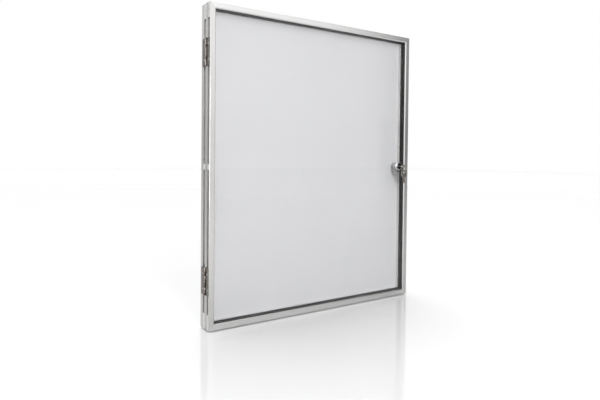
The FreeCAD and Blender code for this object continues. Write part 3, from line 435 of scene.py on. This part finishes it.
# The two hinge tones are a painted dark reflection of dark surroundings, set darker than the strip's own
# colour.
HINGE_REFLECTION_DARK, HINGE_REFLECTION_PALE = (0.13, 0.118, 0.108), (0.30, 0.275, 0.255)
ZINC_DARK, ZINC_PALE = (0.50, 0.51, 0.52), (0.66, 0.67, 0.68)
CHROME_DARK, CHROME_PALE = (0.68, 0.69, 0.70), (0.78, 0.78, 0.79)
KEY_DARK, KEY_PALE = (0.26, 0.24, 0.22), (0.44, 0.41, 0.38)


def bright_metal(name, dark, pale, rough, stretch=(1.0, 1.0, 1.0), scale=300.0, depth=0.02 * MM):
    """A plated or polished metal, with its finish kept open for what comes on top."""
    finish = Finish(name)
    marks = finish.noise(finish.place(stretch), scale=scale, detail=4.0, roughness=0.6)
    clouds = finish.noise(finish.place(), scale=120.0)
    colour = finish.tint((clouds + marks) / 2, dark, pale)
    worn = marks.spread(rough, rough + MARK_ROUGH)
    normal = finish.bump(marks, distance=depth, strength=0.4)
    return finish, {"colour": colour, "metal": 1.0, "rough": worn, "normal": normal}


def plain_metal(*values, **named):
    finish, looks = bright_metal(*values, **named)
    return finish.surface(**looks)


def chromed_lock():
    finish, looks = bright_metal("lock_chrome", CHROME_DARK, CHROME_PALE, rough=0.06, depth=0.005 * MM)
    looks["colour"] = finish.tint(lock_face(finish), looks["colour"], FACE_COLOUR)
    return finish.surface(**looks)


def scratched_key():
    finish, looks = bright_metal("key_nickel", KEY_DARK, KEY_PALE, rough=0.18)
    scratches = finish.noise(finish.place(ALONG_SCRATCH), scale=900.0, detail=5.0).step(*SCRATCHES)
    looks["rough"] = looks["rough"] + scratches * SCRATCH_ROUGH
    return finish.surface(**looks)


# The hinges take the tones of the painted dark reflection.
HINGE_STEEL = plain_metal("hinge_steel", HINGE_REFLECTION_DARK, HINGE_REFLECTION_PALE, rough=0.14, stretch=ALONG_PIN, scale=250.0)
ZINC = plain_metal("screw_steel", ZINC_DARK, ZINC_PALE, rough=0.28)
CHROME = chromed_lock()
NICKEL = scratched_key()
print("four bright metals")

# %% [markdown]
# ## The panel's back
#
# Behind the painted face lies a core of pressed fibre board, and a zinc coated sheet closes the
# back. Zinc coating crystallises into spangles a few millimetres wide.

# %% Core board and rear sheet
ALONG_FIBRES = (60.0, 900.0, 60.0)
SPANGLES = 130.0
SPANGLE_ROUGH = (0.34, 0.50)


def fibre_board():
    finish = Finish("core_board")
    fibres = finish.noise(finish.place(ALONG_FIBRES), scale=8.0, detail=6.0)
    colour = finish.tint(fibres, (0.30, 0.21, 0.13), (0.52, 0.41, 0.28))
    normal = finish.bump(fibres, distance=0.2 * MM, strength=0.6)
    return finish.surface(colour=colour, rough=0.85, normal=normal)


def zinc_coat():
    finish = Finish("zinc_sheet")
    sockets = {"Vector": finish.place(), "Scale": SPANGLES, "Randomness": 1.0}
    crystals = finish.node("TexVoronoi", {"feature": "F1"}, sockets, output="Color")
    shade = finish.node("SeparateColor", sockets={"Color": crystals}, output="Red")
    colour = finish.tint(shade, (0.46, 0.48, 0.50), (0.64, 0.66, 0.68))
    return finish.surface(colour=colour, metal=1.0, rough=shade.spread(*SPANGLE_ROUGH))


BOARD = fibre_board()
SPANGLED = zinc_coat()
print("core board and spangled zinc")

# %% [markdown]
# ## Giving each piece its finish
#
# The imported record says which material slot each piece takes, so the finishes are handed out
# by slot. Only the extrusions need a second look, because their lines follow their length.

# %% Finishes for every piece
FINISHES = {
    "anodised_extrusion": SHADED_STILE_METAL,
    "corner_plastic": MOULDED,
    "clear_pane": PANE,
    "black_rubber": RUBBER,
    "black_plastic": BEAD,
    "white_panel": WHITE,
    "core_board": BOARD,
    "zinc_sheet": SPANGLED,
    "hinge_steel": HINGE_STEEL,
    "screw_steel": ZINC,
    "lock_chrome": CHROME,
    "key_nickel": NICKEL,
}
SLOT_OF = {part["node"]: part["material_slot"] for part in frame["record"]["subparts"]}
for name, slot in SLOT_OF.items():
    materials = NODES[name].data.materials
    materials.clear()
    materials.append(LIT_RAIL_METAL if name.endswith("_rail") else FINISHES[slot])
print(len(FINISHES), "kinds of finish on", len(SLOT_OF), "pieces")

# %% [markdown]
# ## Small rounded edges
#
# No edge of a real piece is perfectly sharp. A Bevel modifier rounds each sharp edge by a fifth
# of a millimetre, which is enough to catch a thin line of light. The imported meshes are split
# along their edges, so a Weld modifier joins them first. The pane, the black trim and the two
# sheets behind the panel stay as they are.

# %% Rounded edges
EDGE_ROUND = 0.2 * MM
EDGE_STEPS = 2
JOINED_WITHIN = 0.001 * MM
SHARP_FROM = math.radians(40)
PLAIN_SLOTS = ("clear_pane", "black_rubber", "black_plastic", "core_board", "zinc_sheet")


def round_edges(piece):
    weld = piece.modifiers.new("weld", "WELD")
    weld.merge_threshold = JOINED_WITHIN
    bevel = piece.modifiers.new("round", "BEVEL")
    bevel.width = EDGE_ROUND
    bevel.segments = EDGE_STEPS
    bevel.limit_method = "ANGLE"
    bevel.angle_limit = SHARP_FROM
    bevel.harden_normals = True


ROUNDED = [name for name, slot in SLOT_OF.items() if slot not in PLAIN_SLOTS]
for name in ROUNDED:
    round_edges(NODES[name])
print(len(ROUNDED), "pieces with rounded edges")

# %% [markdown]
# ## Floor
#
# The board stands on a plain white floor with a slight gloss, which carries a soft picture of
# the frame. The floor lies two millimetres lower than the board, so a thin dark line shows
# along the foot. The camera sees the floor a little paler than metal and panel do, which keeps
# it white without a glare in the frame.

# %% Floor
FLOOR_HALF = 14.0
FLOOR_GAP = 2.0 * MM
FLOOR_Z = FOOT - FLOOR_GAP


def floor():
    finish = Finish("floor_white")
    clouds = finish.noise(finish.place(), scale=0.8)
    bright = finish.tint(clouds, grey(0.68), grey(0.70))
    dim = finish.tint(clouds, grey(0.52), grey(0.54))
    seen = finish.node("LightPath", output="Is Camera Ray")
    white = finish.surface(colour=finish.tint(seen, dim, bright), rough=0.10, shine=0.5)
    mesh = bpy.data.meshes.new("floor")
    around = ((-1, -1), (1, -1), (1, 1), (-1, 1))
    corners = [(x * FLOOR_HALF, y * FLOOR_HALF, FLOOR_Z) for x, y in around]
    mesh.from_pydata(corners, [], [range(len(corners))])
    mesh.materials.append(white)
    plane = bpy.data.objects.new("floor", mesh)
    bpy.context.scene.collection.objects.link(plane)


floor()
print(f"floor at z {FLOOR_Z:.3f} m, {2 * FLOOR_HALF:.0f} m wide")

# %% [markdown]
# ## Light
#
# A white studio is mostly one large soft light, so the world is that light. Lamps would do as
# well, but satin metal mirrors the room, and a room is easier to draw as a world. A bearing is
# counted in degrees from straight in front of the board towards its right. Brightness over the
# bearing is one ramp for the walls and one for the ceiling, and the walls grow brighter with
# height. The wall at the right is dark, so the frame turns darker from left to right, and a
# darker card stands there at the height of the lock, which mirrors it. To the camera itself the
# room is plain white.

# %% World
BRIGHTEST = 4.0
WALLS = [
    (-180, 1.17),
    (-176, 0.72),
    (-112, 0.72),
    (-108, 0.80),
    (-60, 1.25),
    (-30, 1.25),
    (0, 0.95),
    (20, 1.08),
    (34, 1.09),
    (41.5, 1.07),
    (45.5, 0.06),
    (72, 0.04),
    (84, 0.42),
    (104, 0.42),
    (110, 1.17),
    (180, 1.17),
]
WALL_FOOT, WALL_RISE = 0.78, 1.1
CEILING = [(-180, 2.4), (-120, 2.4), (-80, 1.0), (40, 1.0), (64, 0.5), (90, 0.5), (115, 2.4), (180, 2.4)]
CEILING_RISE = (0.60, 0.80)
CARD_BEARINGS = (math.radians(43.0), math.radians(58.0))
CARD_HEIGHTS = (-0.12, 0.07)
CARD_LEVEL = 0.01
CARD_SOFT = 0.01
PLAIN_WHITE = 1.0


def world():
    studio = Finish("studio", "worlds")
    x, y, z = studio.axes(studio.node("TexCoord", output="Generated"))
    bearing = studio.node("Math", {"operation": "ARCTAN2"}, {"Value": x, "Value_001": 0 - y})
    turn = bearing / (2 * math.pi) + 0.5

    def ramp(levels):
        stops = [(degrees / 360 + 0.5, level / BRIGHTEST) for degrees, level in levels]
        return studio.node("ValToRGB", {"stops": stops}, {"Fac": turn}) * BRIGHTEST

    def inside(value, low, high):
        above_low = value.step(low - CARD_SOFT, low + CARD_SOFT)
        above_high = value.step(high - CARD_SOFT, high + CARD_SOFT)
        return above_low * (1 - above_high)

    walls = ramp(WALLS) * (WALL_FOOT + z * WALL_RISE)
    room = z.step(*CEILING_RISE).spread(walls, ramp(CEILING))
    card = inside(bearing, *CARD_BEARINGS) * inside(z, *CARD_HEIGHTS)
    room = card.spread(room, CARD_LEVEL)
    level = studio.node("LightPath", output="Is Camera Ray").spread(room, PLAIN_WHITE)
    glow = studio.node("Background", sockets={"Color": grey(1.0), "Strength": level})
    bpy.context.scene.world = studio.show(glow, "OutputWorld")


world()
bpy.context.scene.view_settings.view_transform = "Standard"
print("white studio with", len(WALLS), "levels round its walls and", len(CEILING), "round its ceiling")

# %% [markdown]
# One tall strip light stands in front of the board, a little to its left. A world alone lights
# the panel too evenly. The strip keeps the panel bright up to its edges and gives the keys their
# soft shadow. It is turned to face the middle of the board.

# %% Strip light
STRIP_PLACE = Vector((-0.55, -2.60, 0.55))
STRIP_WIDE, STRIP_HIGH = 0.8, 1.7
STRIP_WATTS = 37.0


def strip_light():
    data = bpy.data.lights.new("strip", "AREA")
    data.shape = "RECTANGLE"
    data.size = STRIP_WIDE
    data.size_y = STRIP_HIGH
    data.energy = STRIP_WATTS
    lamp = bpy.data.objects.new("strip", data)
    lamp.location = STRIP_PLACE
    lamp.rotation_euler = (-STRIP_PLACE).to_track_quat("-Z", "Y").to_euler()
    bpy.context.scene.collection.objects.link(lamp)


strip_light()
print(f"strip light {STRIP_WIDE} x {STRIP_HIGH} m, {STRIP_PLACE.length:.2f} m from the board's middle")

# %% [markdown]
# ## Camera
#
# The camera stands at the left, a little above the middle of the board, and looks about 34
# degrees to the right. The picture is 600 pixels wide, and the lens follows from the focal
# length in pixels. The view's middle lies 33 pixels above the picture's centre, which a small
# vertical shift of the lens gives.

# %% Camera
PICTURE_WIDE = 600
FOCAL_PIXELS = 521.2
CENTRE_ABOVE = 33
SENSOR = 36.0
LENS = SENSOR * FOCAL_PIXELS / PICTURE_WIDE
EYE = Vector((-0.8072, -1.1384, 0.0278))
YAW, PITCH, ROLL = (math.radians(angle) for angle in (34.15, -1.21, 0.54))
NEAREST, FARTHEST = 0.02, 60.0


def camera():
    data = bpy.data.cameras.new("camera")
    data.sensor_width = SENSOR
    data.lens = LENS
    data.shift_y = -CENTRE_ABOVE / PICTURE_WIDE
    data.clip_start = NEAREST
    data.clip_end = FARTHEST
    level = math.cos(PITCH)
    ahead = Vector((math.sin(YAW) * level, math.cos(YAW) * level, math.sin(PITCH)))
    right = Vector((math.cos(YAW), -math.sin(YAW), 0.0))
    up = right.cross(ahead)
    side = right * math.cos(ROLL) + up * math.sin(ROLL)
    top = up * math.cos(ROLL) - right * math.sin(ROLL)
    viewer = bpy.data.objects.new("camera", data)
    viewer.matrix_world = Matrix.Translation(EYE) @ Matrix((side, top, -ahead)).transposed().to_4x4()
    bpy.context.scene.collection.objects.link(viewer)
    bpy.context.scene.camera = viewer


camera()
print(f"camera with a lens of {LENS:.2f} mm")
